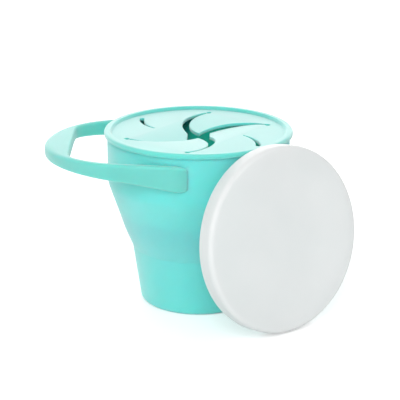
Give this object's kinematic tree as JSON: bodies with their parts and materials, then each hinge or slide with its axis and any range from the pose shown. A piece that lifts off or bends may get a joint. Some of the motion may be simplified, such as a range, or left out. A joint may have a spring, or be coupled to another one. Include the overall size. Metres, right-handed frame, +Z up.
{
  "type": "toddler snack container",
  "caption": "Collapsible silicone snack cup with a loop handle, a soft pinwheel flap cover for a small hand, and a press-on cap standing beside it.",
  "frame": {"origin": "centre of the cup's flat base, on the surface it stands on", "axes": "+Z up through the cup; the handle points to -X; the cap stands in front of the cup, towards +X and -Y"},
  "size_m": [0.1475, 0.1165, 0.0871],
  "materials": {
    "cup_silicone": "matte",
    "cover_silicone": "matte",
    "cap_silicone": "frosted"
  },
  "bodies": {
    "cup_base": {"lower_cup": "cup_silicone", "fold_wall": "cup_silicone"},
    "cup_top": {"upper_shell": "cup_silicone", "handle": "cup_silicone"},
    "cover": {"cover_ring": "cover_silicone"},
    "flap_back": {"small_flap_back": "cover_silicone"},
    "flap_left": {"large_flap_left": "cover_silicone"},
    "flap_front": {"small_flap_front": "cover_silicone"},
    "flap_right": {"large_flap_right": "cover_silicone"},
    "cap": {"cap": "cap_silicone"}
  },
  "joints": [
    {"name": "collapse", "type": "slide", "parent": "cup_base", "child": "cup_top", "axis": [0, 0, -1], "range_m": [0, 0.036], "deforming": ["fold_wall"]},
    {"name": "cover_lift", "type": "slide", "parent": "cup_top", "child": "cover", "axis": [0, 0, 1], "range_m": [0, 0.045]},
    {"name": "flap_back_bend", "type": "hinge", "parent": "cover", "child": "flap_back", "pos_m": [0.0194, 0.02396, 0.0826], "axis": [0.7771, -0.6293, 0], "range_deg": [-35, 68], "stiffness_Nm_per_rad": 0.02},
    {"name": "flap_left_bend", "type": "hinge", "parent": "cover", "child": "flap_left", "pos_m": [-0.01669, 0.01173, 0.0826], "axis": [0.575, 0.8182, 0], "range_deg": [-35, 68], "stiffness_Nm_per_rad": 0.02},
    {"name": "flap_front_bend", "type": "hinge", "parent": "cover", "child": "flap_front", "pos_m": [-0.0194, -0.02396, 0.0826], "axis": [-0.7771, 0.6293, 0], "range_deg": [-35, 68], "stiffness_Nm_per_rad": 0.02},
    {"name": "flap_right_bend", "type": "hinge", "parent": "cover", "child": "flap_right", "pos_m": [0.01669, -0.01173, 0.0826], "axis": [-0.575, -0.8182, 0], "range_deg": [-35, 68], "stiffness_Nm_per_rad": 0.02},
    {"name": "cap_lift", "type": "slide", "parent": "cup_base", "child": "cap", "axis": [0, 0, 1], "range_m": [0, 0.09]}
  ]
}
